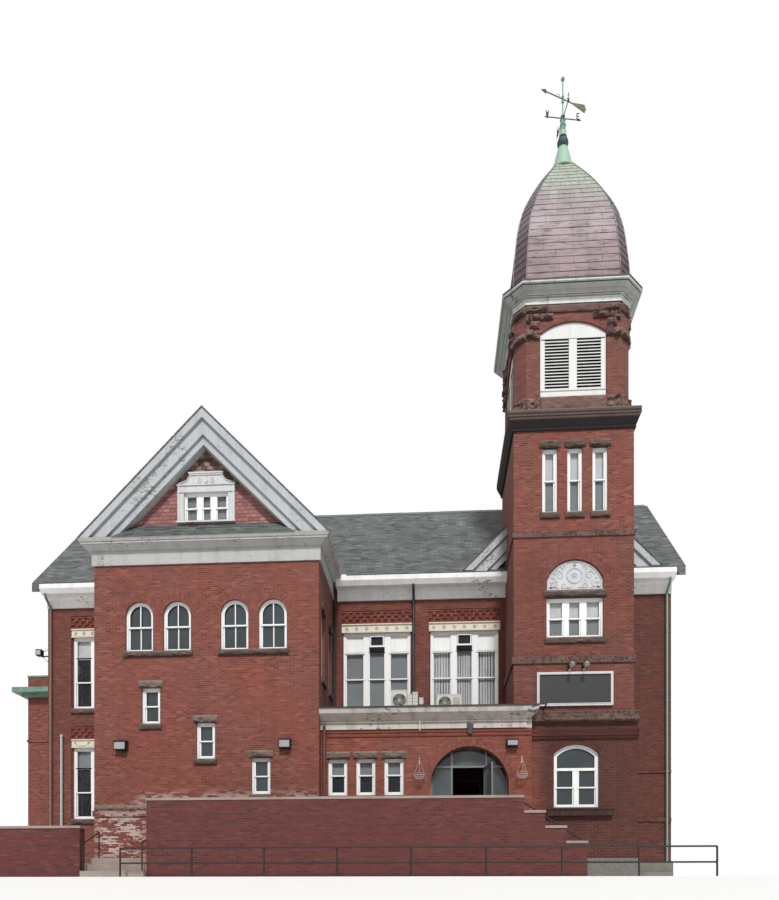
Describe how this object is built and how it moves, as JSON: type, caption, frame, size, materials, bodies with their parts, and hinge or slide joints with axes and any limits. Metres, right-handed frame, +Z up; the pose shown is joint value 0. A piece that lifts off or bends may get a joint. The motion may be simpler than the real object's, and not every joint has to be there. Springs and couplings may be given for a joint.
{
  "type": "town hall building",
  "caption": "Hollow brick town hall with a gabled main block, gabled pavilion, arched entrance porch, raised terrace and square bell tower under a copper dome.",
  "frame": {"origin": "middle of the plan at ground level, under the whole building with its terrace and railing", "axes": "+X along the front to the right seen from the street, +Y back into the building, +Z up"},
  "size_m": [28.06, 17.0342, 29.0865],
  "materials": {
    "brick": "red-brown brick with pale joints",
    "granite": "rough grey granite",
    "brownstone": "rough brown sandstone",
    "white_paint": "peeling white paint",
    "cream_stone": "cream painted carving",
    "grey_shingle": "grey slate-like shingles",
    "red_shingle": "red-brown shingles",
    "roof_deck": "dark roofing",
    "copper": "weathered copper",
    "bronze": "dark anodised metal",
    "window_frame": "painted sashes",
    "glass": "window glass",
    "concrete": "weathered concrete",
    "floor": "wooden floor",
    "iron": "dark painted iron",
    "cream_metal": "off-white painted metal",
    "louvre": "dark green paint"
  },
  "bodies": {
    "building": {"granite_plinth": "granite", "main_front_walls": "brick", "main_gable_walls": "brick", "main_rear_wall": "brick", "pavilion_front_wall": "brick", "pavilion_side_walls": "brick", "gable_walls": "red_shingle", "porch_walls": "brick", "porch_arch_wall": "brick", "porch_cornice": "white_paint", "entrance_screen": "bronze", "entrance_landing": "concrete", "tower_front_wall": "brick", "tower_side_walls": "brick", "tower_rear_wall": "brick", "tower_cornice": "brownstone", "tower_bands": "brownstone", "carved_panels": "cream_stone", "belfry_walls": "brick", "belfry_louvres": "louvre", "crown_cornice": "white_paint", "dome": "copper", "finial": "copper", "compass_arms": "iron", "main_roof_front": "grey_shingle", "main_roof_rear": "grey_shingle", "gable_roofs": "grey_shingle", "flat_roofs": "roof_deck", "eaves_cornice": "white_paint", "pavilion_cornice": "white_paint", "raking_cornices": "white_paint", "ground_floor": "floor", "upper_floor": "floor", "attic_floor": "floor", "terrace_walls": "brick", "wall_copings": "concrete", "terrace_floor": "concrete", "garden_wall": "brick", "garden_steps": "concrete", "front_railing": "iron", "wing_walls": "brick", "wing_cornice": "copper", "window_frames": "window_frame", "window_glass": "glass", "stone_sills": "brownstone", "stone_lintels": "brownstone", "string_courses": "brick", "belfry_stones": "brownstone", "attic_surround": "white_paint", "rainwater_pipes": "iron", "wall_lamps": "iron", "sign_board": "white_paint", "roof_units": "cream_metal", "stair_handrails": "iron"},
    "entrance_door": {"entrance_door": "bronze", "entrance_door_glass": "glass"},
    "weather_vane": {"weather_vane": "copper"}
  },
  "joints": [
    {"name": "entrance_door_hinge", "type": "hinge", "parent": "building", "child": "entrance_door", "pos_m": [6.665, -3.165, 1.5], "axis": [0, 0, 1], "range_deg": [-100, 0]},
    {"name": "vane_spin", "type": "hinge", "parent": "building", "child": "weather_vane", "pos_m": [9.59, -1.256, 28.3], "axis": [0, 0, 1], "continuous": true}
  ]
}
